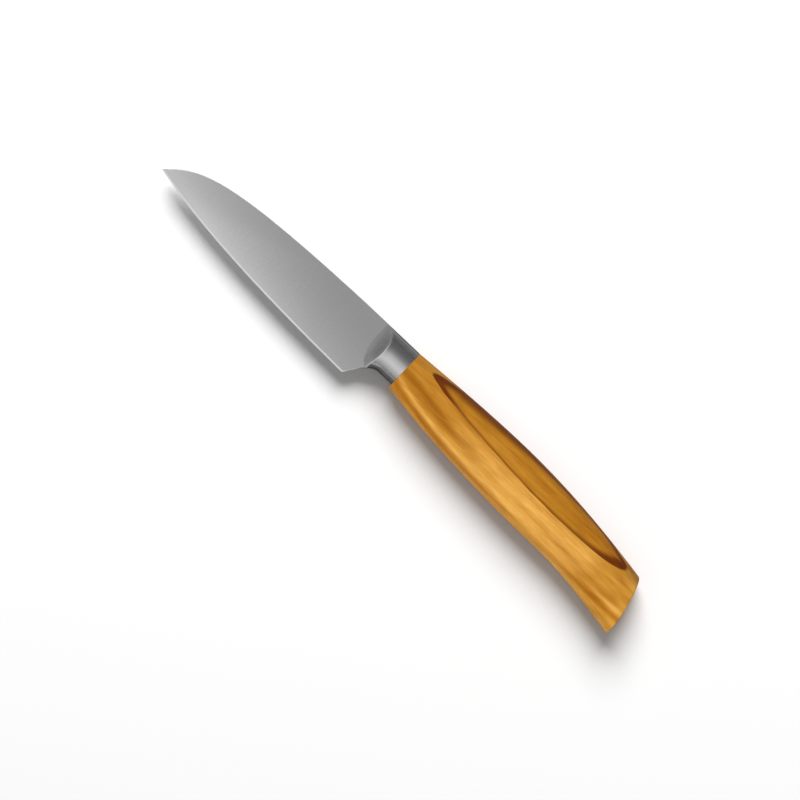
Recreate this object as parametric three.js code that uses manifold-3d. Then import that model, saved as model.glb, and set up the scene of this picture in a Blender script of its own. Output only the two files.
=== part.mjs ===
// A paring knife: a taper-ground blade whose hidden tang runs through a fitted bolster
// into a one-piece wooden handle.
// It lies on one cheek. X runs from the tip to the butt, Y from the cutting edge to the spine and Z up.
// Every piece is drawn about the joint, where the tang's centre line leaves the bolster for the handle.
import * as THREE from "three";
import { mergeVertices } from "three/addons/utils/BufferGeometryUtils.js";
import Module from "manifold-3d";

const wasm = await Module();
wasm.setup();

// Driving dimensions in millimetres, angles in degrees

// Blade
const bladeLength = 84.4; // heel corner to tip, along X
const heelSetback = 13.9; // joint to heel corner
const spineRise = 6.45; // spine above the tang's centre line
const heelDrop = 14.5; // heel corner below the centre line
const tipDrop = 7.1; // tip below the centre line
const tipAngle = 45.7; // slope of the spine as it leaves the tip
const tipPull = 12.8; // how far the spine keeps that slope
const spineStraight = 22; // joint to where the spine starts to fall
const spinePull = 59; // how slowly it falls
const spineSag = 0.9; // fall over that stretch
const edgeBellyAhead = 59.1; // lowest pull of the cutting edge, ahead of the heel corner
const edgeBellyLift = 0.9; // and how far that pull lies above the heel corner
const spineThickness = 2.2; // at the heel, also the tang's thickness
const edgeThickness = 0.4; // behind the sharpened bevel
const edgeLand = 0.04; // left on the cutting edge itself
const bevelWidth = 0.55; // sharpened bevel
const spineEase = 0.3; // broken corners of the spine
const tipLand = 0.5; // length of the last facet at the tip

// Tang
const tangLength = 64; // beyond the joint
const tangHeightAtJoint = 8;
const tangHeightAtEnd = 5;
const notchCount = 3; // glue keys cut into both edges of the tang
const notchRadius = 0.9;
const notchPitch = 17;
const firstNotch = 14; // from the joint

// Bolster
const bolsterThickness = 12.4;
const bolsterDrop = 6.55; // underside below the centre line
const shoulderSetback = 5; // joint to where the blade steps down to the tang
const heelCurveEnd = 6; // joint to where the heel curve runs level into the underside
const heelCurvePull = 8.9; // joint to the corner that the heel curve rounds off
const ridgeSetback = 8.55; // joint to the bolster's ridge
const rampRun = 5.2; // length of the hollow-ground ramp from its foot to the ridge
const rampRunLeast = 0.4; // the same at the underside, where the ramp dies out
const rampDrop = 8.6; // how far below the centre line its foot curves back to the ridge
const rampRise = 5.6; // height of the ridge above the blade's flank
const rampLip = 0.12; // thickness of the bolster at the ramp's foot
const brazeFilm = 0.12; // brazed joint between blade and bolster

// Handle
const handleLength = 102.3; // joint to the lower butt corner
const handleThickness = 13.6;
const handleFrontDrop = 7.9; // belly below the centre line at the joint
const frontSpineSlope = 0.06; // slope of the back at the joint
const crestAt = 43; // joint to the crest of the back
const crestRise = 8.12; // crest above the centre line
const buttTopSetback = 4.3; // upper butt corner short of the lower one
const buttTopRise = 2.95; // upper butt corner above the centre line
const buttSpineSlope = -0.17; // slope of the back at the butt
const frontBellySlope = -0.15; // slope of the belly at the joint
const waistAt = 68; // joint to the waist of the belly
const waistDrop = 12.6; // waist below the centre line
const buttDrop = 16.8; // lower butt corner below the centre line
const buttBellySlope = -0.18; // slope of the belly at the butt
const buttBulge = 0.8; // how far the butt face rounds out between its corners
const buttTopRound = 1.6; // rounding of the butt's upper corner
const buttBottomRound = 0.8; // and of its lower corner
const roundWidth = 5.2; // rounding of back and belly, across the cheek
const roundDepth = 6.4; // and through the thickness
const glueFilm = 0.6; // adhesive around the tang
const glueEnd = 2.5; // adhesive beyond the tang's end

// Fits
const seam = 0.03; // clearance that stands for a bonded joint
const overcut = 2; // how far a cutting shape runs past what it cuts

// Finishes
const steel = new THREE.MeshStandardMaterial({ color: "#a9a9a8", roughness: 0.38, metalness: 1 });
const polishedSteel = new THREE.MeshStandardMaterial({ color: "#b4b4b4", roughness: 0.25, metalness: 1 });
const silverBraze = new THREE.MeshStandardMaterial({ color: "#b9b4a4", roughness: 0.5, metalness: 1 });
const oliveWood = new THREE.MeshStandardMaterial({ color: "#c58a34", roughness: 0.5, metalness: 0 });
const curedEpoxy = new THREE.MeshStandardMaterial({ color: "#c9b27a", roughness: 0.4, metalness: 0 });

// Counts of facets
const bladeSteps = 34;
const tipCrowding = 1.6; // gathers the blade's facets towards the tip
const heelSteps = 12;
const bolsterSteps = 22;
const ovalPoints = 44;
const curveSteps = 26;
const roundSteps = 9;
const buttSteps = 16;
const notchSteps = 5;
const rampSteps = 14;
const rampTallSteps = 24;
const halvings = 40; // when the height of a curve is looked up

// Solids

function solidOf(geometry) {
  const bare = new THREE.BufferGeometry().setAttribute("position", geometry.getAttribute("position"));
  const merged = mergeVertices(bare.setIndex(geometry.index));
  return new wasm.Manifold(
    new wasm.Mesh({
      numProp: 3,
      vertProperties: merged.getAttribute("position").array,
      triVerts: new Uint32Array(merged.index.array),
    }),
  );
}

function pieceOf(name, solid, material) {
  const { vertProperties, triVerts } = solid.getMesh();
  const geometry = new THREE.BufferGeometry();
  geometry.setAttribute("position", new THREE.BufferAttribute(vertProperties, 3));
  geometry.setIndex(new THREE.BufferAttribute(triVerts, 1));
  geometry.computeVertexNormals();
  const mesh = new THREE.Mesh(geometry, material);
  mesh.name = name;
  return mesh;
}

// A closed skin over rings that run anticlockwise seen from +X. Each end closes on a point.
function loft(rings, startPoint, endPoint) {
  const count = rings[0].length;
  const points = [...rings.flat(), startPoint, endPoint];
  const start = points.length - 2;
  const end = points.length - 1;
  const faces = [];
  for (let side = 0; side < count; side++) {
    const next = (side + 1) % count;
    faces.push(start, next, side);
    for (let step = 0; step < rings.length - 1; step++) {
      const near = step * count;
      const far = near + count;
      faces.push(near + side, near + next, far + side);
      faces.push(near + next, far + next, far + side);
    }
    const last = (rings.length - 1) * count;
    faces.push(end, last + side, last + next);
  }
  return new THREE.BufferGeometry().setFromPoints(points).setIndex(faces);
}

function middleOf(ring) {
  const sum = ring.reduce((total, point) => total.add(point), new THREE.Vector3());
  return sum.divideScalar(ring.length);
}

// Outline of the steel, seen on its cheek

const heelX = -heelSetback;
const tipX = heelX - bladeLength;
const tip = new THREE.Vector2(tipX, -tipDrop);
const heel = new THREE.Vector2(heelX, -heelDrop);

const tipSlope = THREE.MathUtils.degToRad(tipAngle);
const spineCurve = new THREE.CubicBezierCurve(
  tip,
  new THREE.Vector2(Math.cos(tipSlope), Math.sin(tipSlope)).multiplyScalar(tipPull).add(tip),
  new THREE.Vector2(-spineStraight - spinePull, spineRise - spineSag),
  new THREE.Vector2(-spineStraight, spineRise),
);
const edgeCurve = new THREE.QuadraticBezierCurve(
  tip,
  new THREE.Vector2(heelX - edgeBellyAhead, -heelDrop + edgeBellyLift),
  heel,
);
const heelCurve = new THREE.QuadraticBezierCurve(
  heel,
  new THREE.Vector2(-heelCurvePull, -bolsterDrop),
  new THREE.Vector2(-heelCurveEnd, -bolsterDrop),
);

// Height of a curve that runs forwards in X.
function heightOn(curve, x) {
  let low = 0;
  let high = 1;
  for (let halving = 0; halving < halvings; halving++) {
    const middle = (low + high) / 2;
    if (curve.getPoint(middle).x < x) low = middle;
    else high = middle;
  }
  return curve.getPoint(low).y;
}

function topOfSteel(x) {
  return x < -spineStraight ? heightOn(spineCurve, x) : spineRise;
}

function bottomOfSteel(x) {
  if (x < heelX) return heightOn(edgeCurve, x);
  return x < -heelCurveEnd ? heightOn(heelCurve, x) : -bolsterDrop;
}

// The upper flank is one plane: thick at the heel's spine, thin along the line from the heel to the tip.
const flank = new THREE.Plane().setFromCoplanarPoints(
  new THREE.Vector3(heelX, spineRise, spineThickness / 2),
  new THREE.Vector3(tipX, -tipDrop, edgeThickness / 2),
  new THREE.Vector3(heelX, -heelDrop, edgeThickness / 2),
);

function flankHeight(x, y) {
  return -(flank.normal.x * x + flank.normal.y * y + flank.constant) / flank.normal.z;
}

// Blade

// Section across the blade at x, swollen by grow on every side. The bevel is ground ahead of the heel only.
function bladeRing(x, grow, ground) {
  const top = topOfSteel(x) + grow;
  const bottom = bottomOfSteel(x) - grow;
  const ease = Math.min(spineEase, (top - bottom) / 4);
  const bevel = Math.min(bevelWidth, (top - bottom) / 4);
  const cheekTop = flankHeight(x, top - ease) + grow;
  const cheekFoot = flankHeight(x, bottom + bevel) + grow;
  const crown = Math.max(cheekTop - ease, cheekTop / 2);
  const land = ground ? edgeLand / 2 + grow : cheekFoot;
  const half = [
    [top, crown],
    [top - ease, cheekTop],
    [bottom + bevel, cheekFoot],
    [bottom, land],
  ];
  const upper = half.map(([y, z]) => new THREE.Vector3(x, y, z));
  const lower = half.map(([y, z]) => new THREE.Vector3(x, y, -z));
  return [...upper, ...lower.reverse()];
}

function bladePlate(grow) {
  const rings = [];
  for (let step = 0; step <= bladeSteps; step++) {
    const share = (step / bladeSteps) ** tipCrowding;
    rings.push(bladeRing(THREE.MathUtils.lerp(tipX + tipLand, heelX, share), grow, true));
  }
  const shoulder = -shoulderSetback + grow;
  for (let step = 0; step <= heelSteps; step++) {
    rings.push(bladeRing(THREE.MathUtils.lerp(heelX + edgeLand, shoulder, step / heelSteps), grow, false));
  }
  return solidOf(loft(rings, new THREE.Vector3(tipX - grow, -tipDrop, 0), middleOf(rings.at(-1))));
}

function tangBar(grow) {
  const start = -shoulderSetback - overcut;
  const end = tangLength + grow;
  const heightAt = (x) => THREE.MathUtils.mapLinear(x, 0, tangLength, tangHeightAtJoint, tangHeightAtEnd);
  const halfAt = (x) => heightAt(x) / 2 + grow;
  const outline = new THREE.Shape();
  outline.moveTo(start, halfAt(0));
  outline.lineTo(start, -halfAt(0));
  outline.lineTo(0, -halfAt(0));
  const notches = Array.from({ length: notchCount }, (_, index) => firstNotch + index * notchPitch);
  const radius = notchRadius - grow;
  for (const x of notches) {
    outline.lineTo(x - radius, -halfAt(x));
    outline.absarc(x, -halfAt(x), radius, Math.PI, 0, true);
  }
  outline.lineTo(end, -halfAt(tangLength));
  outline.lineTo(end, halfAt(tangLength));
  for (const x of notches.reverse()) {
    outline.lineTo(x + radius, halfAt(x));
    outline.absarc(x, halfAt(x), radius, 0, Math.PI, true);
  }
  outline.lineTo(0, halfAt(0));
  const thickness = spineThickness + 2 * grow;
  const bar = new THREE.ExtrudeGeometry(outline, {
    depth: thickness,
    bevelEnabled: false,
    curveSegments: notchSteps,
  });
  return solidOf(bar.translate(0, 0, -thickness / 2));
}

function bladeSolid(grow) {
  return bladePlate(grow).add(tangBar(grow));
}

// Bolster

// Oval section between the steel's top and bottom at x.
function ovalRing(x) {
  const top = topOfSteel(x);
  const bottom = bottomOfSteel(x);
  return Array.from({ length: ovalPoints }, (_, index) => {
    const angle = (2 * Math.PI * index) / ovalPoints;
    const y = (top + bottom) / 2 + (Math.cos(angle) * (top - bottom)) / 2;
    return new THREE.Vector3(x, y, (Math.sin(angle) * bolsterThickness) / 2);
  });
}

function bolsterBlank() {
  const rings = [];
  for (let step = 0; step <= bolsterSteps; step++) {
    rings.push(ovalRing(THREE.MathUtils.lerp(heelX, 0, step / bolsterSteps)));
  }
  return solidOf(loft(rings, middleOf(rings[0]), middleOf(rings.at(-1))));
}

// Length of the ramp at height y. Below the centre line its foot curves back to the ridge.
function runOfRamp(y) {
  const drop = THREE.MathUtils.clamp(-y / rampDrop, 0, 1);
  return Math.max(rampRun * Math.sqrt(1 - drop * drop), rampRunLeast);
}

// What the grinding wheel takes off one cheek: all ahead of a hollow ramp from the flank to the ridge.
// Its section is a parabola, drawn with a run of one before every height gets its own run.
function rampCutter(cheek) {
  const ahead = -2;
  const profile = new THREE.Shape();
  profile.moveTo(0, bolsterThickness);
  profile.lineTo(ahead, bolsterThickness);
  profile.lineTo(ahead, -bolsterThickness / 2);
  profile.lineTo(-1, -bolsterThickness / 2);
  profile.lineTo(-1, rampLip);
  profile.quadraticCurveTo(-1 / 2, rampLip, 0, rampLip + rampRise);
  const top = spineRise + overcut;
  const cutter = new THREE.ExtrudeGeometry(profile, {
    depth: top + heelDrop + overcut,
    steps: rampTallSteps,
    bevelEnabled: false,
    curveSegments: rampSteps,
  });
  cutter.rotateX(Math.PI / 2).translate(0, top, 0);
  const place = cutter.getAttribute("position");
  for (let index = 0; index < place.count; index++) {
    const y = place.getY(index);
    const share = place.getX(index);
    const x = share > ahead ? share * runOfRamp(y) - ridgeSetback : heelX - overcut;
    place.setXYZ(index, x, y, cheek * (place.getZ(index) + flankHeight(x, y)));
  }
  return cheek > 0 ? solidOf(cutter) : solidOf(turnedFaces(cutter));
}

// The same triangles wound the other way, for a shape that was mirrored.
function turnedFaces(geometry) {
  const place = geometry.getAttribute("position");
  const index = [];
  for (let corner = 0; corner < place.count; corner += 3) {
    index.push(corner, corner + 2, corner + 1);
  }
  return geometry.setIndex(index);
}

const groundBolster = bolsterBlank().subtract(rampCutter(1)).subtract(rampCutter(-1));
const bladeInBolster = bladeSolid(brazeFilm);

// Handle

// Smooth stretch of outline between two points with given slopes.
function easedCurve(from, fromSlope, to, toSlope) {
  const third = (to.x - from.x) / 3;
  return new THREE.CubicBezierCurve(
    from,
    new THREE.Vector2(from.x + third, from.y + third * fromSlope),
    new THREE.Vector2(to.x - third, to.y - third * toSlope),
    to,
  );
}

const frontTop = new THREE.Vector2(0, spineRise);
const crest = new THREE.Vector2(crestAt, crestRise);
const buttTop = new THREE.Vector2(handleLength - buttTopSetback, buttTopRise);
const frontBottom = new THREE.Vector2(0, -handleFrontDrop);
const waist = new THREE.Vector2(waistAt, -waistDrop);
const buttBottom = new THREE.Vector2(handleLength, -buttDrop);

function runOn(point, slope, distance) {
  return new THREE.Vector2(point.x + distance, point.y + slope * distance);
}

// Back and belly with both cheeks rounded off, longer than the handle at each end.
function roundedBlank() {
  const extra = roundWidth + buttBulge + overcut;
  const back = [
    runOn(frontTop, frontSpineSlope, -extra),
    ...easedCurve(frontTop, frontSpineSlope, crest, 0).getPoints(curveSteps),
    ...easedCurve(crest, 0, buttTop, buttSpineSlope).getPoints(curveSteps).slice(1),
    runOn(buttTop, buttSpineSlope, extra + buttTopSetback),
  ];
  const belly = [
    runOn(frontBottom, frontBellySlope, -extra),
    ...easedCurve(frontBottom, frontBellySlope, waist, 0).getPoints(curveSteps),
    ...easedCurve(waist, 0, buttBottom, buttBellySlope).getPoints(curveSteps).slice(1),
    runOn(buttBottom, buttBellySlope, extra),
  ];
  const straight = handleThickness - 2 * roundDepth;
  const blank = new THREE.ExtrudeGeometry(new THREE.Shape([...belly, ...back.reverse()]), {
    depth: straight,
    bevelThickness: roundDepth,
    bevelSize: roundWidth,
    bevelOffset: -roundWidth,
    bevelSegments: roundSteps,
  });
  return solidOf(blank.translate(0, 0, -straight / 2));
}

// Everything ahead of the bulging butt face, whose corners are rounded.
function behindButt() {
  const rise = new THREE.Vector2().subVectors(buttTop, buttBottom).normalize();
  const out = new THREE.Vector2(rise.y, -rise.x);
  const low = buttBottom.clone().addScaledVector(rise, buttBottomRound);
  const high = buttTop.clone().addScaledVector(rise, -buttTopRound);
  const pull = low.clone().lerp(high, 0.5).addScaledVector(out, 2 * buttBulge);
  const onBack = runOn(buttTop, buttSpineSlope, -buttTopRound);
  const ahead = runOn(buttTop, buttSpineSlope, -handleLength - overcut);
  const outline = new THREE.Shape();
  outline.moveTo(ahead.x, -buttDrop);
  outline.lineTo(buttBottom.x - buttBottomRound, -buttDrop);
  outline.quadraticCurveTo(buttBottom.x, buttBottom.y, low.x, low.y);
  outline.quadraticCurveTo(pull.x, pull.y, high.x, high.y);
  outline.quadraticCurveTo(buttTop.x, buttTop.y, onBack.x, onBack.y);
  outline.lineTo(ahead.x, ahead.y);
  const depth = handleThickness + overcut;
  const block = new THREE.ExtrudeGeometry(outline, {
    depth,
    bevelEnabled: false,
    curveSegments: buttSteps,
  });
  return solidOf(block.translate(0, 0, -depth / 2));
}

// Everything ahead of the joint.
function aheadOfJoint() {
  const side = handleLength;
  return solidOf(new THREE.BoxGeometry(side, side, side).translate(-side / 2, 0, 0));
}

function mortise(shrink) {
  const height = tangHeightAtJoint + 2 * (glueFilm - shrink);
  const thickness = spineThickness + 2 * (glueFilm - shrink);
  const start = shrink > 0 ? shrink : -overcut;
  const end = tangLength + glueEnd - shrink;
  const box = new THREE.BoxGeometry(end - start, height, thickness);
  return solidOf(box.translate((start + end) / 2, 0, 0));
}

// The knife, moved so that it lies on Z 0 under the middle of its box

const bolster = groundBolster.subtract(bladeInBolster);
const braze = groundBolster.intersect(bladeSolid(brazeFilm - seam)).subtract(bladeSolid(seam));
const handle = roundedBlank().intersect(behindButt()).subtract(aheadOfJoint()).subtract(mortise(0));
const adhesive = mortise(seam).subtract(bladeSolid(seam));

const knife = new THREE.Group();
knife.add(
  pieceOf("blade", bladeSolid(0), steel),
  pieceOf("bolster", bolster, polishedSteel),
  pieceOf("bolster_braze", braze, silverBraze),
  pieceOf("handle", handle, oliveWood),
  pieceOf("tang_adhesive", adhesive, curedEpoxy),
);
const box = new THREE.Box3().setFromObject(knife);
const middle = box.getCenter(new THREE.Vector3());
knife.position.set(-middle.x, -middle.y, -box.min.z);

export default knife;
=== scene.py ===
import math

import bmesh
import bpy
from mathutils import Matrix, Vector


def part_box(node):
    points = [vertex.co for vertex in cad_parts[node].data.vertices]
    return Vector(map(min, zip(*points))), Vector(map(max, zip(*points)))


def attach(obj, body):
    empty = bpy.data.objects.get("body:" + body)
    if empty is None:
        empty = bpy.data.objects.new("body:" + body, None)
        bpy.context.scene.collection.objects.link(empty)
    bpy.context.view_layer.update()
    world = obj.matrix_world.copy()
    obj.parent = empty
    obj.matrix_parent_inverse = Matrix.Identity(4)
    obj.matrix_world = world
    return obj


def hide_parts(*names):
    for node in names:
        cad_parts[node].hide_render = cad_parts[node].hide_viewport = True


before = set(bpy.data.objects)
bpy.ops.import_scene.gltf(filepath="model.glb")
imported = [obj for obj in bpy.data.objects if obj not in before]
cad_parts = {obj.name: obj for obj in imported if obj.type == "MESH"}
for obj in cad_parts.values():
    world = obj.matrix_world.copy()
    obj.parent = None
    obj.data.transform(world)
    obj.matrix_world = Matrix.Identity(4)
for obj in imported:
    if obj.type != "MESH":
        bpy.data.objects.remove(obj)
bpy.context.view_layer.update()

mm = 0.001
handleLow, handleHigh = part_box("handle")
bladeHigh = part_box("blade")[1]

# the steel's outline on its cheek, in mm from the point where the tang leaves the bolster
steelLook = {
    "spineRise": 6.45,
    "spineFallsAt": -22.0,
    "spinePulls": ((-81.0, 5.55), (-89.36, 2.06)),
    "tip": (-98.3, -7.1),
    "edgePull": (-73.0, -13.6),
    "heel": (-13.9, -14.5),
    "heelPull": (-8.9, -6.55),
    "heelEnd": (-6.0, -6.55),
    "spineThickness": 2.2,
    "edgeThickness": 0.4,
}

jointX = handleLow.x
lineY = bladeHigh.y - steelLook["spineRise"] * mm
middleZ = (handleLow.z + handleHigh.z) / 2
halvings = 40  # steps of a search for a point on a curve


def place(x, y, z):
    return Vector((jointX + x * mm, lineY + y * mm, middleZ + z * mm))


def mix(a, b, share):
    return a + (b - a) * share


def bezier(points, share):
    while len(points) > 1:
        points = [Vector(a).lerp(Vector(b), share) for a, b in zip(points, points[1:])]
    return points[0]


def curvePoints(points, steps):
    return [tuple(bezier(points, i / steps)) for i in range(steps + 1)]


# height of a curve that runs one way in x
def heightOn(points, x):
    low, high = (0.0, 1.0) if points[0][0] < points[-1][0] else (1.0, 0.0)
    for step in range(halvings):
        middle = (low + high) / 2
        if bezier(points, middle).x < x:
            low = middle
        else:
            high = middle
    return bezier(points, low).y


spineStart = (steelLook["spineFallsAt"], steelLook["spineRise"])
spineLine = [spineStart, *steelLook["spinePulls"], steelLook["tip"]]
edgeLine = [steelLook["tip"], steelLook["edgePull"], steelLook["heel"]]
heelLine = [steelLook["heel"], steelLook["heelPull"], steelLook["heelEnd"]]


def steelTop(x):
    return steelLook["spineRise"] if x > steelLook["spineFallsAt"] else heightOn(spineLine, x)


def steelBottom(x):
    if x < steelLook["heel"][0]:
        return heightOn(edgeLine, x)
    return heightOn(heelLine, x) if x < steelLook["heelEnd"][0] else steelLook["heelEnd"][1]


# half the blade's thickness: one plane from the heel's spine down to the line between heel and tip
def flankHeight(x, y):
    (tipX, tipY), (heelX, heelY) = steelLook["tip"], steelLook["heel"]
    chord = mix(heelY, tipY, (x - heelX) / (tipX - heelX))
    thin, thick = steelLook["edgeThickness"] / 2, steelLook["spineThickness"] / 2
    return thin + (thick - thin) * (y - chord) / (steelLook["spineRise"] - heelY)


# gives a bmesh to a new object that rides on the knife
def makePiece(name, bm, nodeName, materials, sharpAngle):
    bmesh.ops.recalc_face_normals(bm, faces=bm.faces)
    mesh = bpy.data.meshes.new(name)
    bm.to_mesh(mesh)
    bm.free()
    for face in mesh.polygons:
        face.use_smooth = True
    mesh.set_sharp_from_angle(angle=math.radians(sharpAngle))
    piece = bpy.data.objects.new(name, mesh)
    bpy.context.scene.collection.objects.link(piece)
    for material in materials:
        mesh.materials.append(material)
    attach(piece, "root")
    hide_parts(nodeName)
    print(name, len(mesh.polygons), "faces")
    return piece


def toLinear(part):
    return part / 12.92 if part <= 0.04045 else ((part + 0.055) / 1.055) ** 2.4


def srgb(red, green, blue):
    return (toLinear(red / 255), toLinear(green / 255), toLinear(blue / 255), 1.0)


def grey(value):
    return (value, value, value, 1.0)


def newMaterial(name):
    material = bpy.data.materials.new(name)
    material.use_nodes = True
    tree = material.node_tree
    return material, tree, tree.nodes["Principled BSDF"]


# links a socket, or sets a plain value
def feed(tree, socket, value):
    if isinstance(value, bpy.types.NodeSocket):
        tree.links.new(value, socket)
    else:
        socket.default_value = value


def addNode(tree, kind, inputs=None, **settings):
    made = tree.nodes.new(kind)
    for name, value in settings.items():
        setattr(made, name, value)
    for key, value in (inputs or {}).items():
        feed(tree, made.inputs[key], value)
    return made


def calc(tree, operation, *values, clamp=False):
    made = addNode(tree, "ShaderNodeMath", dict(enumerate(values)), operation=operation, use_clamp=clamp)
    return made.outputs[0]


def times(tree, a, b):
    return calc(tree, "MULTIPLY", a, b)


def minus(tree, a, b):
    return calc(tree, "SUBTRACT", a, b)


# value times factor, plus more
def scaled(tree, value, factor, more):
    return calc(tree, "MULTIPLY_ADD", value, factor, more)


def ramp(tree, factor, stops, interpolation="LINEAR"):
    made = addNode(tree, "ShaderNodeValToRGB", {"Fac": factor})
    band = made.color_ramp
    band.interpolation = interpolation
    while len(band.elements) < len(stops):
        band.elements.new(1.0)
    for element, (position, colour) in zip(band.elements, stops):
        element.position = position
        element.color = colour
    return made.outputs["Color"]


def mixColour(tree, blend, factor, a, b):
    made = addNode(tree, "ShaderNodeMix", data_type="RGBA", blend_type=blend)
    feed(tree, made.inputs[0], factor)
    feed(tree, made.inputs[6], a)  # 6, 7 and output 2 are the colour sockets
    feed(tree, made.inputs[7], b)
    return made.outputs[2]


# object coordinates turned into millimetres from the joint
def jointCoords(tree):
    coords = addNode(tree, "ShaderNodeTexCoord")
    return addNode(tree, "ShaderNodeMapping", {
        "Vector": coords.outputs["Object"],
        "Location": (-jointX / mm, -lineY / mm, -middleZ / mm),
        "Scale": (1 / mm, 1 / mm, 1 / mm),
    }).outputs[0]


def splitAxes(tree, spot):
    return addNode(tree, "ShaderNodeSeparateXYZ", {"Vector": spot}).outputs


def noiseAt(tree, vector, scale, detail, roughness=0.5):
    spread = addNode(tree, "ShaderNodeMapping", {"Vector": vector, "Scale": scale}).outputs[0]
    return addNode(tree, "ShaderNodeTexNoise", {
        "Vector": spread, "Scale": 1.0, "Detail": detail, "Roughness": roughness}).outputs["Fac"]


def spanned(tree, value, start, end, low, high, curve="LINEAR"):
    return addNode(tree, "ShaderNodeMapRange", {
        "Value": value, "From Min": start, "From Max": end, "To Min": low, "To Max": high},
        interpolation_type=curve).outputs[0]


# goes softly from low at start to high at end
def fade(tree, value, start, end, low=0.0, high=1.0):
    return spanned(tree, value, start, end, low, high, "SMOOTHSTEP")


# one at zero, and falls off to both sides
def bell(tree, value, width):
    share = calc(tree, "DIVIDE", value, width)
    return calc(tree, "EXPONENT", times(tree, times(tree, share, share), -1.0))


# tone for a place along one axis, from stops in mm
def toneAlong(tree, value, stops):
    first, last = stops[0][0], stops[-1][0]
    share = spanned(tree, value, first, last, 0.0, 1.0)
    return ramp(tree, share, [((at - first) / (last - first), grey(tone)) for at, tone in stops])


# fine lines left by the grinding wheel, shared by all the steel
grindLook = {
    "detail": (3.0, 0.6),
    "broadScale": 0.2,
    "broadDetail": 2.0,
    "contrast": 0.16,
    "usualNoise": (0.3, 0.7),
    "depth": 0.01,
}


# a finish gives the lines' density on each axis, dark and light, roughness and how deep the lines are
def makeSteel(name, finish, paintedLightAt=None):
    look = grindLook
    material, tree, shader = newMaterial(name)
    spot = jointCoords(tree)
    fine = noiseAt(tree, spot, finish["lines"], *look["detail"])
    broadLines = tuple(density * look["broadScale"] for density in finish["lines"])
    broad = noiseAt(tree, spot, broadLines, look["broadDetail"])
    tone = calc(tree, "ADD", times(tree, fine, 0.5), times(tree, broad, 0.5))
    # painted light or shade: a tone by place on the piece, with the grinding lines over it
    if paintedLightAt:
        grain = scaled(tree, tone, look["contrast"], -look["contrast"] / 2)
        tone = calc(tree, "ADD", paintedLightAt(tree, spot), grain)
    dark, light = finish["tones"]
    colour = ramp(tree, tone, [(0.0, grey(dark)), (1.0, grey(light))])
    rough = spanned(tree, fine, *look["usualNoise"], *finish["roughness"])
    lines = {"Height": fine, "Strength": finish["bump"], "Distance": look["depth"] * mm}
    shader.inputs["Metallic"].default_value = finish.get("metallic", 1.0)
    shader.inputs["Specular Tint"].default_value = grey(finish.get("rim", 1.0))
    tree.links.new(colour, shader.inputs["Base Color"])
    tree.links.new(rough, shader.inputs["Roughness"])
    tree.links.new(addNode(tree, "ShaderNodeBump", lines).outputs[0], shader.inputs["Normal"])
    return material


# blade
bladeLook = {
    "spineEase": 0.25,
    "bevelWidth": 0.6,
    "edgeLand": 0.03,
    "edgeSide": 0.6,
    "edgeWithin": 0.01,
    "weld": 1e-4,
    "curveSteps": 60,
    "heelSteps": 14,
    "shoulder": -5.0,
    "hiddenInset": 0.15,
    "hiddenFrom": -10.0,
    "tang": (64.0, 8.0, 5.0),
    "tangOverlap": 1.0,
    "tangInset": 0.02,
    "sharpAngle": 12,
    "satin": {"lines": (5.0, 0.25, 5.0), "tones": (0.57, 1.0), "roughness": (0.26, 0.33), "bump": 0.15},
    "bevel": {"lines": (0.4, 4.0, 4.0), "tones": (0.58, 0.7), "roughness": (0.3, 0.4), "bump": 0.2,
              "metallic": 0.3},
    # how the flank's painted reflection grows towards the tip and the cutting edge
    "flankTip": 7.6e-5,
    "flankEdge": (0.0309, 0.00196),
    "flankFan": (0.25, 0.0118),
}


# painted reflection: the ground flank's colour is lighter towards the cutting edge and the tip
def paintedFlankLight(tree, spot):
    look = bladeLook
    x, y, z = splitAxes(tree, spot)
    ahead, below = times(tree, x, -1.0), times(tree, y, -1.0)
    tip = times(tree, times(tree, ahead, ahead), look["flankTip"])
    first, second = look["flankEdge"]
    edge = times(tree, below, scaled(tree, below, second, first))
    start, growth = look["flankFan"]
    return scaled(tree, edge, scaled(tree, ahead, growth, start), tip)


bladeSteel = makeSteel("bladeSatin", bladeLook["satin"], paintedFlankLight)
bevelSteel = makeSteel("sharpenedBevel", bladeLook["bevel"])


# outline from the shoulder round the tip and heel, drawn in a little where the bolster hides it
def bladeOutline():
    look = bladeLook
    shoulder, hiddenFrom, inset = look["shoulder"], look["hiddenFrom"], look["hiddenInset"]
    spine = [(shoulder, steelLook["spineRise"] - inset), (hiddenFrom, steelLook["spineRise"])]
    spine += curvePoints(spineLine, look["curveSteps"])[:-1]
    edge = curvePoints(edgeLine, look["curveSteps"])
    heel = []
    for x, y in curvePoints(heelLine, look["heelSteps"])[1:]:
        hidden = max(0, (x - hiddenFrom) / (shoulder - hiddenFrom))
        heel.append((x, y + inset * hidden))
    heel.append((shoulder, steelLook["heelEnd"][1] + inset))
    return spine + edge + heel


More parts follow.
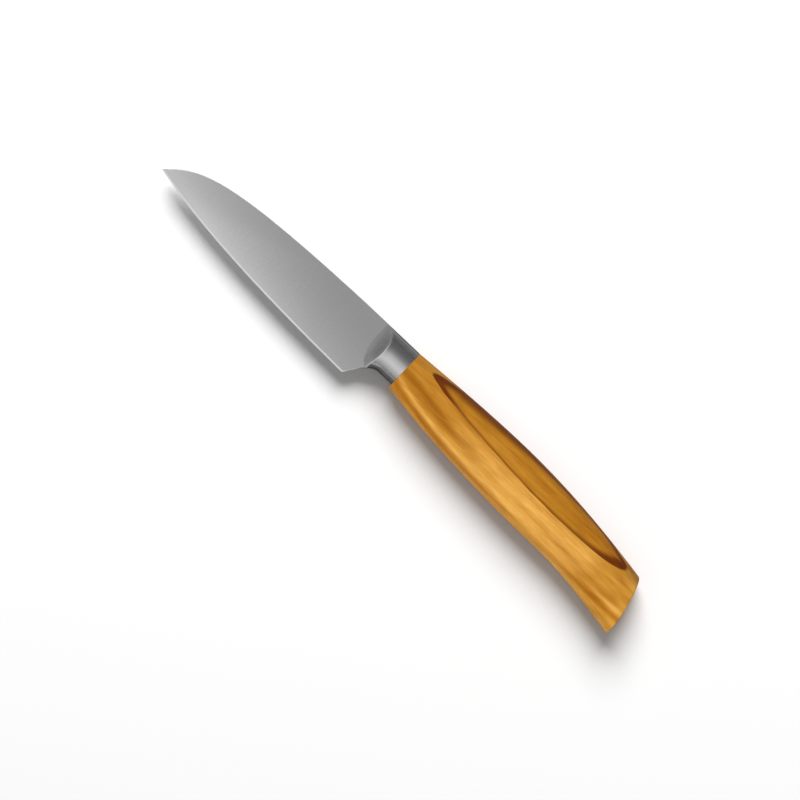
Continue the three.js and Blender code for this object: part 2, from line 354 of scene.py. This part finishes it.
# one cheek is inset, raised to its thickness and mirrored, and a plain bar is the tang
def makeBlade():
    look = bladeLook
    heelX = steelLook["heel"][0]
    bm = bmesh.new()
    outer = [bm.verts.new((x, y, 0)) for x, y in bladeOutline()]
    cheek = bmesh.ops.contextual_create(bm, geom=outer)["faces"]
    bmesh.ops.inset_region(bm, faces=cheek, thickness=look["spineEase"], use_boundary=True,
                           use_even_offset=True)
    rimVerts = set(outer)
    for v in [v for v in bm.verts if v not in rimVerts]:
        x, y = v.co.x, v.co.y
        if x < heelX and y < mix(steelTop(x), steelBottom(x), look["edgeSide"]):
            v.co.y += look["bevelWidth"] - look["spineEase"]
        v.co.z = flankHeight(v.co.x, v.co.y)
    for v in outer:
        x, y = v.co.x, v.co.y
        sharp = x < heelX + look["edgeWithin"] and y < steelBottom(x) + look["edgeWithin"]
        v.co.z = look["edgeLand"] / 2 if sharp else flankHeight(x, y) - look["spineEase"]
    for face in bm.faces:
        ends = [v for v in face.verts if v in rimVerts]
        if len(ends) == 2 and all(v.co.z < look["edgeLand"] for v in ends):
            face.material_index = 1
    rim = [e for e in bm.edges if e.is_boundary]
    for v in bmesh.ops.extrude_edge_only(bm, edges=rim)["geom"]:
        if isinstance(v, bmesh.types.BMVert):
            v.co.z = 0
    bmesh.ops.mirror(bm, geom=bm.verts[:] + bm.edges[:] + bm.faces[:], axis="Z", merge_dist=look["weld"])
    length, front, back = look["tang"]
    half = steelLook["spineThickness"] / 2 - look["tangInset"]
    for v in bmesh.ops.create_cube(bm, size=1.0)["verts"]:
        x, height = (look["shoulder"] - look["tangOverlap"], front) if v.co.x < 0 else (length, back)
        v.co = (x, math.copysign(height / 2, v.co.y), math.copysign(half, v.co.z))
    for v in bm.verts:
        v.co = place(*v.co)
    return makePiece("knifeBlade", bm, "blade", [bladeSteel, bevelSteel], look["sharpAngle"])


makeBlade()

# bolster: oval collar, crisp ridge and a hollow ramp down to the blade
bolsterLook = {
    "thickness": 12.4,
    "ridgeX": -8.55,
    "rampRun": 5.5,
    "rampRunLeast": 0.4,
    "toneRunLeast": 0.1,
    "rampDrop": 8.6,
    "rampRise": 5.6,
    "rampLip": -0.02,
    "ridgeWidth": 0.25,
    "ridgeOnCollar": 0.6,
    "around": 160,
    "collarSteps": 12,
    "rampSteps": 18,
    "weld": 0.002,
    "sharpAngle": 24,
    "polish": {"lines": (3.0, 0.6, 0.6), "tones": (0.1, 0.95), "roughness": (0.2, 0.26), "bump": 0.1,
               "rim": 0.1},
    "ramp": {"lines": (0.8, 3.0, 0.8), "tones": (0.4, 1.0), "roughness": (0.3, 0.38), "bump": 0.2},
    # the ridge is only partly metal, so that the lamps light its painted highlight
    "ridge": {"lines": (0.8, 3.0, 0.8), "tones": (0.12, 0.7), "roughness": (0.4, 0.5), "bump": 0.1,
              "metallic": 0.2},
    # painted shade of the ramp from its foot to the ridge, its share of the flank's painted reflection and
    # its lighter lift low down
    "paintedRampTones": [(-13.8, 0.22), (-13.4, 0.24), (-12.7, 0.54), (-12.2, 0.62), (-11.2, 0.52), (-9.5, 0.64),
                  (-8.5, 0.75)],
    "rampFlank": 0.6,
    "rampLow": (-2.0, -6.5, 0.0, 0.3),
    "rampLowAlong": (-11.8, -10.6),
    # painted reflection bands across the collar, dark over both rims, and how far the lower rim sinks
    # towards the heel
    "paintedCollarBands": [(-6.6, 0.4), (-6.1, 0.12), (-5.6, 0.0), (-5.3, 0.04), (-5.0, 0.14), (-4.7, 0.42),
                    (-4.0, 0.95), (-2.5, 1.0), (-1.0, 0.88), (2.0, 0.79), (3.6, 0.72), (4.2, 0.4),
                    (4.7, 0.04), (5.4, 0.04), (5.9, 0.25), (6.5, 0.3)],
    "rimSinkFrom": -4.8,
    "rimSink": (1.0, -2.0, 0.0, 0.07),
    # painted highlight on the ridge, bright low down and dark at the top
    "paintedRidgeTones": [(-9.0, 0.5), (-7.0, 0.9), (0.0, 0.95), (2.0, 0.5), (3.5, 0.1), (6.5, 0.0)],
}


# painted shade: the ramp's colour is dark at its curved foot and lighter towards the ridge, most of all low
# down, over a share of the flank's painted reflection
def paintedRampShade(tree, spot):
    look = bolsterLook
    x, y, z = splitAxes(tree, spot)
    drop = calc(tree, "MULTIPLY", y, -1 / look["rampDrop"], clamp=True)
    run = calc(tree, "SQRT", scaled(tree, times(tree, drop, drop), -1.0, 1.0))
    run = calc(tree, "MAXIMUM", run, look["toneRunLeast"])
    ahead = calc(tree, "DIVIDE", minus(tree, x, look["ridgeX"]), run)
    foot = toneAlong(tree, calc(tree, "ADD", ahead, look["ridgeX"]), look["paintedRampTones"])
    lift = times(tree, fade(tree, y, *look["rampLow"]), fade(tree, x, *look["rampLowAlong"]))
    return calc(tree, "ADD", scaled(tree, paintedFlankLight(tree, spot), look["rampFlank"], foot), lift)


# painted reflection: the collar's colour darkens over its rims in painted dark bands, and the lower one
# sinks towards the heel
def paintedCollarReflection(tree, spot):
    look = bolsterLook
    x, y, z = splitAxes(tree, spot)
    ahead = calc(tree, "MAXIMUM", minus(tree, look["rimSinkFrom"], x), 0.0)
    sunk = scaled(tree, times(tree, ahead, ahead), fade(tree, y, *look["rimSink"]), y)
    return toneAlong(tree, sunk, look["paintedCollarBands"])


# painted highlight: the ridge's colour is bright low down and dark towards the top
def paintedRidgeHighlight(tree, spot):
    x, y, z = splitAxes(tree, spot)
    return toneAlong(tree, y, bolsterLook["paintedRidgeTones"])


bolsterSteel = makeSteel("bolsterPolish", bolsterLook["polish"], paintedCollarReflection)
rampSteel = makeSteel("rampSatin", bolsterLook["ramp"], paintedRampShade)
ridgeSteel = makeSteel("ridgeLine", bolsterLook["ridge"], paintedRidgeHighlight)


def ovalPoint(x, angle):
    top, bottom = steelTop(x), steelBottom(x)
    y = (top + bottom) / 2 + math.cos(angle) * (top - bottom) / 2
    return y, math.sin(angle) * bolsterLook["thickness"] / 2


# below the centre line the foot of the ramp curves back to the ridge
def rampRun(y):
    drop = min(max(-y / bolsterLook["rampDrop"], 0), 1)
    return max(bolsterLook["rampRun"] * math.sqrt(1 - drop * drop), bolsterLook["rampRunLeast"])


# the foot dips just under the flank, so that the ramp grows out of it
def rampHeight(x, y):
    share = max(1 - (bolsterLook["ridgeX"] - x) / rampRun(y), 0)
    return flankHeight(x, y) + bolsterLook["rampLip"] + bolsterLook["rampRise"] * share * share


# where the collar meets the ramp, for one angle around the oval
def ridgeAt(angle):
    low = bolsterLook["ridgeX"] - rampRun(ovalPoint(bolsterLook["ridgeX"], angle)[0])
    high = 0.0
    for step in range(halvings):
        x = (low + high) / 2
        y, z = ovalPoint(x, angle)
        if abs(z) > rampHeight(x, y):
            low = x
        else:
            high = x
    return high


def collarPoint(angle, ridge, share):
    x = mix(0, ridge + bolsterLook["ridgeWidth"] * bolsterLook["ridgeOnCollar"], share)
    return (x, *ovalPoint(x, angle))


# follows the ramp down from the ridge at one height of the outline
def rampPoint(angle, ridge, share):
    look = bolsterLook
    y, z = ovalPoint(ridge, angle)
    if abs(z) < flankHeight(ridge, y) + look["rampLip"]:
        return ridge, y, z
    foot = look["ridgeX"] - rampRun(y)
    x = mix(foot, max(ridge - look["ridgeWidth"] * (1 - look["ridgeOnCollar"]), foot), share)
    return x, y, math.copysign(min(rampHeight(x, y), abs(z)), z)


# ring of vertices, each put where pointAt says for its angle
def addRing(bm, angles, pointAt):
    ring = bmesh.ops.create_circle(bm, segments=len(angles), radius=1.0)["verts"]
    for v, angle in zip(ring, angles):
        v.co = pointAt(angle)
    return ring


def anglesAround(count):
    return [2 * math.pi * i / count for i in range(count)]


# skins rings of vertices that follow one another
def skinRings(bm, rings):
    loops = [[bm.edges.get((a, b)) for a, b in zip(ring, ring[1:] + ring[:1])] for ring in rings]
    return [bmesh.ops.bridge_loops(bm, edges=near + far)["faces"] for near, far in zip(loops, loops[1:])]


def makeBolster():
    look = bolsterLook
    bm = bmesh.new()
    angles = anglesAround(look["around"])
    ridges = {angle: ridgeAt(angle) for angle in angles}
    collar = [i / look["collarSteps"] for i in range(look["collarSteps"] + 1)]
    fall = [1 - i / look["rampSteps"] for i in range(look["rampSteps"] + 1)]
    stations = [(collarPoint, share) for share in collar] + [(rampPoint, share) for share in fall]
    rings = [addRing(bm, angles, lambda angle: pointAt(angle, ridges[angle], share))
             for pointAt, share in stations]
    strips = skinRings(bm, rings)
    for face in strips[look["collarSteps"]]:
        face.material_index = 2
    for strip in strips[look["collarSteps"] + 1:]:
        for face in strip:
            face.material_index = 1
    for ring in (rings[0], rings[-1]):
        bmesh.ops.contextual_create(bm, geom=ring)
    for v in bm.verts:
        v.co = place(*v.co)
    bmesh.ops.remove_doubles(bm, verts=bm.verts[:], dist=look["weld"] * mm)
    steels = [bolsterSteel, rampSteel, ridgeSteel]
    return makePiece("knifeBolster", bm, "bolster", steels, look["sharpAngle"])


makeBolster()

# olive wood: golden ground, lengthwise bands with painted highlight, shade and light along the belly,
# painted shade along the back and a painted highlight at the butt, and a dark heartwood shell that the
# cheek cuts in a long lens
woodLook = {
    "groundLength": 102.0,
    "groundWave": 30.0,
    "ground": [
        (0.0, srgb(202, 142, 52)),
        (0.2, srgb(202, 142, 52)),
        (0.4, srgb(230, 171, 81)),
        (0.55, srgb(238, 180, 89)),
        (0.78, srgb(240, 182, 90)),
        (0.88, srgb(212, 154, 62)),
        (0.94, srgb(204, 146, 56)),
        # the lighter last stop is a painted highlight on the butt's rim
        (1.0, srgb(224, 166, 74)),
    ],
    # bands: where they lie, how wide they are and how strong along the handle
    "darkBand": srgb(164, 103, 20),
    "darkSink": (-0.148, -0.4),
    "darkWidth": 1.7,
    "darkReach": (46.0, 12.0, 0.0, 0.8),
    # painted highlight along the start of the belly's rounding, and the curve that it and the bands near it
    # follow
    "paintedHighlight": srgb(255, 198, 106),
    "highlightCurl": (22.0, 6.47, -9.9),
    "highlightWidth": 0.75,
    "highlightAlong": [(0.0, 0.5), (25.0, 0.6), (45.0, 0.78), (60.0, 0.8), (74.0, 0.1), (86.0, 0.05),
                    (96.0, 0.6)],
    "faintRise": 2.2,
    "faintWidth": 1.5,
    "faintAlong": [(30.0, 0.0), (40.0, 0.15), (58.0, 0.2), (70.0, 0.25), (80.0, 0.45), (92.0, 0.2)],
    # painted shade under the highlight, where the belly's rounding turns away
    "bellyPaintedShade": srgb(178, 113, 20),
    "lowDrop": 1.6,
    "lowWidth": 0.85,
    "lowAlong": [(5.0, 0.75), (16.0, 0.7), (28.0, 0.6), (45.0, 0.65), (62.0, 0.5), (78.0, 0.8)],
    # painted light on the belly's rounded edge
    "bellyPaintedLight": srgb(240, 168, 60),
    "edgeFade": (-1.8, -2.8, 0.0, 0.8),
    "edgeAlong": [(0.0, 0.0), (20.0, 1.0), (60.0, 1.0), (80.0, 0.2)],
    # lens of heartwood
    "lensMiddle": 50.0,
    "lensHalf": 43.25,
    "lensBelow": 4.5,
    "lensAbove": 4.0,
    "lensSkew": 0.26,
    "lensInward": 0.05,
    "cheekHalf": 6.8,
    "tipLine": (5.2, -0.03),
    "lensRim": (1.02, 0.985),
    "lensSide": (0.76, 0.71, 0.55, 1.0),
    "lensSideFade": (1.5, 1.05),
    "lensSideAlong": [(16.0, 0.0), (26.0, 1.0), (45.0, 0.8), (60.0, 0.1), (80.0, 0.3)],
    "shell": [
        (0.00, srgb(194, 133, 42)),
        (0.40, srgb(188, 128, 38)),
        (0.42, srgb(168, 108, 32)),
        (0.435, srgb(138, 80, 22)),
        (0.448, srgb(116, 58, 18)),
        (0.50, srgb(110, 52, 14)),
    ],
    "shellSlack": ((0.2, 0.8, 0.0, 0.06), (0.6, -0.4)),
    "heartwood": srgb(188, 128, 38),
    "heartFade": (0.7, 0.2, 0.0, 0.4),
    "heartGlow": srgb(210, 150, 58),
    "glowMiddle": (38.0, 2.6),
    "glowSize": (14.0, 1.2),
    "glowStrength": 0.6,
    # dark heartwood along the back, with painted shade of its rounding
    "backHeartwoodAndShade": srgb(110, 52, 6),
    "crest": (43.0, 8.12),
    "crestFall": (0.0009, 0.00171),
    "backDepth": 4.4,
    "backFade": (1.0, 0.25, 0.0, 0.8),
    "backReach": [(15.0, 1.0), (70.0, 0.227), (86.0, 0.227), (94.0, 0.9)],
    "backAlong": [(12.0, 0.0), (19.0, 1.0), (76.0, 1.0), (87.0, 0.0), (95.0, 0.6), (99.0, 0.6)],
    # noise: density on each axis, detail and roughness, then how far it shifts or shades the figure
    "wave": ((0.035, 0.12, 0.12), 2.0),
    "waveShift": 0.7,
    "ripple": ((0.13, 0.3, 0.3), 3.0),
    "rippleShift": 0.45,
    "growth": ((0.02, 0.42, 0.42), 3.0, 0.55),
    "growthShade": [(0.32, srgb(235, 224, 206)), (0.6, grey(1.0))],
    "mottle": ((0.14, 0.55, 0.55), 4.0, 0.6),
    "mottleShade": [(0.34, (0.90, 0.88, 0.83, 1.0)), (0.66, (1.07, 1.08, 1.1, 1.0))],
    "grain": ((0.09, 2.2, 2.2), 4.0, 0.6),
    "grainShade": [(0.3, srgb(236, 226, 208)), (0.58, grey(1.0))],
    "roughness": (0.3, 0.7, 0.6, 0.5),
    "gloss": 0.04,
    "bump": 0.2,
    "bumpDepth": 0.04,
}


# the ground colour changes along the handle, and bands run through it that sink towards the belly: dark
# bands of wood, and along the belly's rounding a painted highlight, painted shade under it and painted
# light at its edge
def groundWood(tree, x, y, wave):
    look = woodLook
    waved = scaled(tree, wave, look["groundWave"], x)
    along = calc(tree, "DIVIDE", waved, look["groundLength"], clamp=True)
    ground = ramp(tree, along, look["ground"], "EASE")

    def band(amount, strength, colour):
        return mixColour(tree, "MIX", times(tree, amount, strength), ground, look[colour])

    sinking = scaled(tree, x, *look["darkSink"])
    dark = bell(tree, minus(tree, y, sinking), look["darkWidth"])
    ground = band(dark, fade(tree, x, *look["darkReach"]), "darkBand")
    length, drop, level = look["highlightCurl"]
    curling = scaled(tree, calc(tree, "EXPONENT", calc(tree, "DIVIDE", x, -length)), drop, level)
    above = minus(tree, y, curling)
    # painted light on the belly's rounded edge
    ground = band(fade(tree, above, *look["edgeFade"]), toneAlong(tree, x, look["edgeAlong"]), "bellyPaintedLight")
    # painted highlight along the start of the belly's rounding
    highlight = bell(tree, above, look["highlightWidth"])
    ground = band(highlight, toneAlong(tree, x, look["highlightAlong"]), "paintedHighlight")
    faint = bell(tree, minus(tree, above, look["faintRise"]), look["faintWidth"])
    ground = band(faint, toneAlong(tree, x, look["faintAlong"]), "darkBand")
    # painted shade under the highlight
    low = bell(tree, calc(tree, "ADD", above, look["lowDrop"]), look["lowWidth"])
    return band(low, toneAlong(tree, x, look["lowAlong"]), "bellyPaintedShade")


# the heartwood inside the lens, with its dark shell
def heartWood(tree, ground, x, y, z):
    look = woodLook
    along = calc(tree, "DIVIDE", minus(tree, x, look["lensMiddle"]), look["lensHalf"])
    endwise = times(tree, along, along)
    rise, slope = look["tipLine"]
    below = minus(tree, scaled(tree, x, slope, rise), y)
    deep = scaled(tree, along, look["lensSkew"] * look["lensBelow"], look["lensBelow"])
    lower = calc(tree, "DIVIDE", calc(tree, "MAXIMUM", below, 0.0), deep)
    upper = calc(tree, "DIVIDE", calc(tree, "MINIMUM", below, 0.0), look["lensAbove"])
    across = calc(tree, "ADD", lower, upper)
    lens = calc(tree, "SQRT", scaled(tree, across, across, endwise))
    inward = scaled(tree, z, -look["lensInward"] / look["cheekHalf"], look["lensInward"])
    lens = calc(tree, "ADD", lens, inward)
    slackAlong, slackBelow = look["shellSlack"]
    slack = times(tree, fade(tree, along, *slackAlong), fade(tree, below, *slackBelow))
    inner = calc(tree, "MULTIPLY", minus(tree, lens, slack), 0.5, clamp=True)  # 0.5 at the rim of the lens
    shell = ramp(tree, inner, look["shell"])
    shell = mixColour(tree, "MIX", fade(tree, endwise, *look["heartFade"]), shell, look["heartwood"])
    glowX, glowY = [bell(tree, minus(tree, axis, middle), size)
                    for axis, middle, size in zip((x, y), look["glowMiddle"], look["glowSize"])]
    glow = times(tree, times(tree, glowX, glowY), look["glowStrength"])
    shell = mixColour(tree, "MIX", glow, shell, look["heartGlow"])
    side = times(tree, fade(tree, lens, *look["lensSideFade"]), toneAlong(tree, x, look["lensSideAlong"]))
    ground = mixColour(tree, "MULTIPLY", side, ground, look["lensSide"])
    return mixColour(tree, "MIX", fade(tree, lens, *look["lensRim"]), ground, shell)


# dark heartwood and painted shade under the back, which falls away to both sides of its crest
def backHeartAndPaintedShade(tree, figure, x, y):
    look = woodLook
    crestX, crestY = look["crest"]
    before = calc(tree, "MAXIMUM", minus(tree, crestX, x), 0.0)
    after = calc(tree, "MAXIMUM", minus(tree, x, crestX), 0.0)
    fallBefore, fallAfter = look["crestFall"]
    fall = scaled(tree, times(tree, before, before), fallBefore,
                  times(tree, times(tree, after, after), fallAfter))
    depth = minus(tree, minus(tree, crestY, fall), y)
    reach = times(tree, toneAlong(tree, x, look["backReach"]), look["backDepth"])
    shade = fade(tree, calc(tree, "DIVIDE", depth, reach), *look["backFade"])
    shade = times(tree, shade, toneAlong(tree, x, look["backAlong"]))
    return mixColour(tree, "MIX", shade, figure, look["backHeartwoodAndShade"])


def makeWood():
    look = woodLook
    material, tree, shader = newMaterial("oliveWood")
    spot = jointCoords(tree)
    x, y, z = splitAxes(tree, spot)
    wave = minus(tree, noiseAt(tree, spot, *look["wave"]), 0.5)
    ripple = minus(tree, noiseAt(tree, spot, *look["ripple"]), 0.5)
    y = scaled(tree, ripple, look["rippleShift"], scaled(tree, wave, look["waveShift"], y))
    figure = heartWood(tree, groundWood(tree, x, y, wave), x, y, z)
    figure = backHeartAndPaintedShade(tree, figure, x, y)
    growth, mottle, grain = [noiseAt(tree, spot, *look[name]) for name in ("growth", "mottle", "grain")]
    for noise, shades in ((growth, "growthShade"), (mottle, "mottleShade"), (grain, "grainShade")):
        figure = mixColour(tree, "MULTIPLY", 1.0, figure, ramp(tree, noise, look[shades]))
    pores = {"Height": grain, "Strength": look["bump"], "Distance": look["bumpDepth"] * mm}
    tree.links.new(figure, shader.inputs["Base Color"])
    tree.links.new(spanned(tree, grain, *look["roughness"]), shader.inputs["Roughness"])
    tree.links.new(addNode(tree, "ShaderNodeBump", pores).outputs[0], shader.inputs["Normal"])
    shader.inputs["Specular IOR Level"].default_value = look["gloss"]
    return material


oliveWood = makeWood()

# handle: the outlines of its back and belly are points with slopes
handleLook = {
    "length": 102.29,
    "thickness": 13.59,
    "back": [(0.0, 6.45, 0.06), (43.0, 8.12, 0.0), (98.0, 2.95, -0.17)],
    "belly": [(0.0, -7.9, -0.15), (68.0, -12.6, 0.0), (102.3, -16.8, -0.18)],
    "buttTop": 98.0,
    "buttBulge": 0.8,
    "roundWidth": 5.2,
    "frontEase": (0.25, 2),
    "buttEase": (0.7, 5),
    "around": 96,
    "steps": 60,
    "sharpAngle": 40,
}


def outlineHeight(line, x):
    endX, endY, endSlope = line[-1]
    if x >= endX:
        return endY + endSlope * (x - endX)
    for (x0, y0, slope0), (x1, y1, slope1) in zip(line, line[1:]):
        if x < x1:
            third = (x1 - x0) / 3
            pulls = [(x0 + third, y0 + third * slope0), (x1 - third, y1 - third * slope1)]
            return bezier([(x0, y0), *pulls, (x1, y1)], (x - x0) / (x1 - x0)).y


# a share of the length and an angle around, with flat cheeks, rounded edges and a bulging butt
def handlePoint(share, angle):
    look = handleLook
    rise = (1 + math.cos(angle)) / 2
    x = share * (mix(look["length"], look["buttTop"], rise) + 4 * look["buttBulge"] * rise * (1 - rise))
    back, belly = outlineHeight(look["back"], x), outlineHeight(look["belly"], x)
    y = mix(belly, back, rise)
    near = min(back - y, y - belly, look["roundWidth"]) / look["roundWidth"]
    half = look["thickness"] / 2 * math.sqrt(max(1 - (1 - near) ** 2, 0))
    return x, y, math.copysign(half, math.sin(angle))


def makeHandle():
    look = handleLook
    bm = bmesh.new()
    angles = anglesAround(look["around"])
    shares = [step / look["steps"] for step in range(look["steps"] + 1)]
    rings = [addRing(bm, angles, lambda angle: handlePoint(share, angle)) for share in shares]
    skinRings(bm, rings)
    caps = [bmesh.ops.contextual_create(bm, geom=ring)["faces"][0] for ring in (rings[0], rings[-1])]
    for cap, (ease, segments) in zip(caps, (look["frontEase"], look["buttEase"])):
        bmesh.ops.bevel(bm, geom=list(cap.edges), offset=ease, offset_type="OFFSET", affect="EDGES",
                        segments=segments, profile=0.5, material=-1, clamp_overlap=True)
    for v in bm.verts:
        v.co = place(*v.co)
    return makePiece("knifeHandle", bm, "handle", [oliveWood], look["sharpAngle"])


makeHandle()

# the adhesive keeps its solid and gets a mottled amber finish
adhesiveLook = {
    "mottle": ((0.9, 0.9, 0.9), 3.0),
    "shades": [(0.35, srgb(184, 160, 106)), (0.65, srgb(201, 178, 122))],
    "roughness": 0.35,
}


def finishAdhesive():
    look = adhesiveLook
    material, tree, shader = newMaterial("curedAdhesive")
    mottle = noiseAt(tree, jointCoords(tree), *look["mottle"])
    tree.links.new(ramp(tree, mottle, look["shades"]), shader.inputs["Base Color"])
    shader.inputs["Roughness"].default_value = look["roughness"]
    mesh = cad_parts["tang_adhesive"].data
    mesh.materials.clear()
    mesh.materials.append(material)
    print("adhesive finished")


finishAdhesive()

# thin block of braze around the blade inside the bolster, with the blade's satin and painted flank
# reflection
brazeLook = {
    "from": -8.2,
    "to": -0.3,
    "high": 6.0,
    "low": -6.0,
    "film": 0.09,
    "sharpAngle": 30,
    "satin": {"lines": (5.0, 0.25, 5.0), "tones": (0.57, 1.0), "roughness": (0.28, 0.34), "bump": 0.15},
}

brazeSilver = makeSteel("brazeSilver", brazeLook["satin"], paintedFlankLight)


def makeBraze():
    look = brazeLook
    bm = bmesh.new()
    for v in bmesh.ops.create_cube(bm, size=2.0)["verts"]:
        x = look["from"] if v.co.x < 0 else look["to"]
        y = look["low"] if v.co.y < 0 else look["high"]
        v.co = place(x, y, v.co.z * (flankHeight(x, y) + look["film"]))
    return makePiece("bolsterBraze", bm, "bolster_braze", [brazeSilver], look["sharpAngle"])


makeBraze()

# floor, light and camera: lamps have a place and size in metres, a power and what they do to the paper
studioLook = {
    "floorSize": 6.0,
    "floorGap": 0.05,
    "floorColour": (0.7, 0.7, 0.7, 1.0),
    "floorRoughness": 0.9,
    "lamps": {
        "paperLight": ((-0.95, 1.25, 1.5), 1.55, 90.0, "INCLUDE"),
        "knifeLight": ((-0.2, 0.15, 1.9), 3.2, 47.0, "EXCLUDE"),
    },
    "skyTilts": [(-90, 0.22), (-75, 0.31), (-54, 0.44), (-26, 0.64), (0, 0.51), (17, 0.28),
                 (35, 0.17), (54, 0.13), (76, 0.13), (90, 0.22)],
    "skyEnds": [(-1.0, 0.5), (-0.85, 0.55), (-0.5, 0.85), (-0.2, 1.0), (0.2, 1.0), (0.65, 0.7), (1.0, 0.6)],
    "photoMiddle": (5.31, -8.28),
    "photoTurn": 43.5,
    "photoWidth": 250.0,
    "lens": 180.0,
    "sensor": 36.0,
}


def makeFloor():
    look = studioLook
    bm = bmesh.new()
    bmesh.ops.create_grid(bm, x_segments=1, y_segments=1, size=look["floorSize"] / 2)
    mesh = bpy.data.meshes.new("studioFloor")
    bm.to_mesh(mesh)
    bm.free()
    floor = bpy.data.objects.new("studioFloor", mesh)
    floor.location.z = -look["floorGap"] * mm
    bpy.context.scene.collection.objects.link(floor)
    material, tree, shader = newMaterial("whitePaper")
    shader.inputs["Base Color"].default_value = look["floorColour"]
    shader.inputs["Roughness"].default_value = look["floorRoughness"]
    shader.inputs["Specular IOR Level"].default_value = 0.0
    mesh.materials.append(material)
    return floor


# one lamp lights the paper alone, the other all but the paper
def makeLamps(floor):
    for name, (spot, size, power, paper) in studioLook["lamps"].items():
        lamp = bpy.data.lights.new(name, "AREA")
        lamp.shape = "DISK"
        lamp.size = size
        lamp.energy = power
        light = bpy.data.objects.new(name, lamp)
        light.location = spot
        light.rotation_euler = (-light.location).to_track_quat("-Z", "Y").to_euler()
        light.visible_glossy = False
        bpy.context.scene.collection.objects.link(light)
        reach = bpy.data.collections.new(name + "Reach")
        reach.objects.link(floor)
        reach.collection_objects[0].light_linking.link_state = paper
        light.light_linking.receiver_collection = reach


# the sky that the steel mirrors: tones by tilt over the blade, dimmed towards its ends
def makeSky():
    world = bpy.data.worlds.new("studioSky")
    world.use_nodes = True
    tree = world.node_tree
    sight = addNode(tree, "ShaderNodeTexCoord").outputs["Generated"]
    x, y, z = splitAxes(tree, sight)
    tilt = calc(tree, "DEGREES", calc(tree, "ARCTAN2", y, z))
    sky = tree.nodes["Background"]
    tree.links.new(toneAlong(tree, tilt, studioLook["skyTilts"]), sky.inputs["Color"])
    tree.links.new(toneAlong(tree, x, studioLook["skyEnds"]), sky.inputs["Strength"])
    bpy.context.scene.world = world


def makeCamera():
    look = studioLook
    lens = bpy.data.cameras.new("photoCamera")
    lens.lens = look["lens"]
    lens.sensor_width = look["sensor"]
    camera = bpy.data.objects.new("photoCamera", lens)
    away = look["photoWidth"] * look["lens"] / look["sensor"]
    camera.location = place(*look["photoMiddle"], away)
    camera.rotation_euler = (0, 0, math.radians(look["photoTurn"]))
    bpy.context.scene.collection.objects.link(camera)
    bpy.context.scene.camera = camera


makeLamps(makeFloor())
makeSky()
makeCamera()
bpy.context.scene.view_settings.view_transform = "Standard"
print("studio ready")
